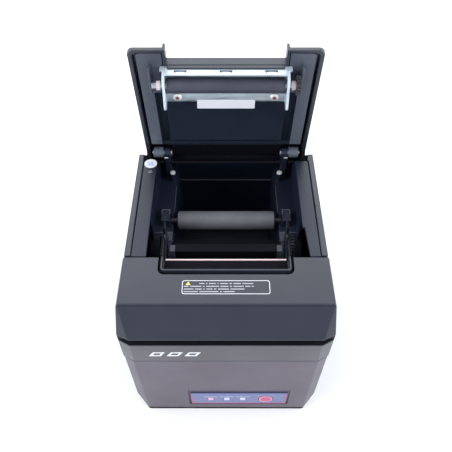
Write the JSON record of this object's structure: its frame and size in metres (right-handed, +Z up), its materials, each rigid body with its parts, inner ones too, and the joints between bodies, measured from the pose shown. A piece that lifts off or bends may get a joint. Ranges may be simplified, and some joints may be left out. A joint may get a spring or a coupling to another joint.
{
  "type": "receipt printer",
  "caption": "Desktop thermal receipt printer with a hinged lid open over its roll bay, platen roller in the lid, sliding front hood over the cutter and a feed key panel",
  "frame": {"origin": "middle of the footprint, on the surface the feet stand on", "axes": "+X to the printer's right seen from its front, +Y to the back, +Z up"},
  "size_m": [0.144, 0.19, 0.2464],
  "materials": {
    "case_abs": "fine grained black ABS, slight sheen",
    "lid_inner_abs": "smooth dark grey ABS with a soft sheen",
    "bay_abs": "satin black ABS",
    "small_black_plastic": "satin",
    "release_plastic": "satin",
    "foot_rubber": "matte",
    "roller_rubber": "ground matte rubber",
    "guide_roller_plastic": "satin dark grey",
    "zinc_sheet": "bright zinc plated sheet",
    "steel": "ground steel",
    "gear_acetal": "smooth acetal",
    "tear_ceramic": "pale pinkish edge",
    "white_trim": "satin white",
    "circuit_board": "solder mask",
    "panel_label": "printed film, satin gloss",
    "led_lens": "frosted window",
    "key_plastic": "satin"
  },
  "bodies": {
    "root": {"lower_case": "case_abs", "upper_case": "case_abs", "connector_recess": "case_abs", "bay_frame": "bay_abs", "roller_holder_left": "bay_abs", "roller_holder_right": "bay_abs", "paper_guide": "bay_abs", "cutter_cover": "bay_abs", "paper_sensor": "small_black_plastic", "near_end_sensor": "small_black_plastic", "dc_inlet": "small_black_plastic", "drawer_port": "small_black_plastic", "switch_bezel": "small_black_plastic", "foot_front_left": "foot_rubber", "foot_front_right": "foot_rubber", "foot_rear_left": "foot_rubber", "foot_rear_right": "foot_rubber", "bay_screw_left": "zinc_sheet", "bay_screw_right": "zinc_sheet", "port_panel": "zinc_sheet", "usb_port": "zinc_sheet", "lan_port": "zinc_sheet", "ledge_screw": "zinc_sheet", "hinge_pin_left": "steel", "hinge_pin_right": "steel", "mechanism_frame": "steel", "cutter_frame": "steel", "feed_motor": "steel", "cutter_motor": "steel", "tear_bar": "tear_ceramic", "check_sticker": "white_trim", "mainboard": "circuit_board", "panel_board": "circuit_board", "control_label": "panel_label", "led_power": "led_lens", "led_paper": "led_lens", "led_error": "led_lens"},
    "lid": {"lid_shell": "case_abs", "lid_inner": "lid_inner_abs", "platen_bracket": "zinc_sheet", "bracket_tab": "white_trim", "bracket_screw_left": "zinc_sheet", "bracket_screw_right": "zinc_sheet", "platen_bushing_left": "gear_acetal", "platen_bushing_right": "gear_acetal"},
    "platen": {"platen_roller": "roller_rubber", "platen_shaft": "steel", "platen_gear": "gear_acetal"},
    "guide": {"guide_roller": "guide_roller_plastic", "guide_shaft": "steel"},
    "feed_key": {"feed_button": "key_plastic"},
    "release": {"release_button": "release_plastic"},
    "latch": {"latch_hooks": "steel"},
    "blade": {"cutter_blade": "steel"},
    "wheel": {"cutter_wheel": "gear_acetal"},
    "idler": {"idler_gear": "gear_acetal"},
    "pinion": {"motor_pinion": "steel"},
    "head": {"print_head": "steel"},
    "rocker": {"power_switch": "small_black_plastic"},
    "hood": {"front_cover": "case_abs"}
  },
  "joints": [
    {"name": "lid_hinge", "type": "hinge", "parent": "root", "child": "lid", "pos_m": [0, 0.065, 0.143], "axis": [1, 0, 0], "range_deg": [0, 82]},
    {"name": "platen_spin", "type": "hinge", "parent": "lid", "child": "platen", "pos_m": [0, 0.04648, 0.22159], "axis": [1, 0, 0], "continuous": true},
    {"name": "guide_spin", "type": "hinge", "parent": "root", "child": "guide", "pos_m": [0, 0.014, 0.117], "axis": [1, 0, 0], "continuous": true},
    {"name": "feed_press", "type": "slide", "parent": "root", "child": "feed_key", "axis": [0, 1, 0], "range_m": [0, 0.001], "stiffness_N_per_m": 800},
    {"name": "release_press", "type": "slide", "parent": "root", "child": "release", "axis": [-1, 0, 0], "range_m": [0, 0.002], "stiffness_N_per_m": 1000},
    {"name": "latch_turn", "type": "hinge", "parent": "root", "child": "latch", "pos_m": [0, -0.0315, 0.124], "axis": [1, 0, 0], "range_deg": [0, 6]},
    {"name": "blade_slide", "type": "slide", "parent": "root", "child": "blade", "axis": [0, 0.9397, 0.342], "range_m": [0, 0.008]},
    {"name": "wheel_turn", "type": "hinge", "parent": "root", "child": "wheel", "pos_m": [0, -0.06217, 0.11037], "axis": [1, 0, 0], "range_deg": [0, 180.5]},
    {"name": "idler_spin", "type": "hinge", "parent": "root", "child": "idler", "pos_m": [0, -0.0154, 0.12035], "axis": [1, 0, 0], "continuous": true},
    {"name": "pinion_spin", "type": "hinge", "parent": "root", "child": "pinion", "pos_m": [0, -0.0201, 0.10743], "axis": [1, 0, 0], "continuous": true},
    {"name": "head_float", "type": "slide", "parent": "root", "child": "head", "axis": [0, -1, 0], "range_m": [0, 0.0006], "stiffness_N_per_m": 4000},
    {"name": "power_rock", "type": "hinge", "parent": "root", "child": "rocker", "pos_m": [-0.0676, -0.055, 0.058], "axis": [0, 0, 1], "range_deg": [-12, 0]},
    {"name": "hood_slide", "type": "slide", "parent": "root", "child": "hood", "axis": [0, -1, 0], "range_m": [0, 0.03]}
  ],
  "couplings": [
    {"joint": "idler_spin", "follows": "platen_spin", "ratio": -0.66667},
    {"joint": "pinion_spin", "follows": "platen_spin", "ratio": 1.3333},
    {"joint": "latch_turn", "follows": "release_press", "rad_per_m": 51.487},
    {"joint": "wheel_turn", "follows": "blade_slide", "rad_per_m": 392.7}
  ]
}
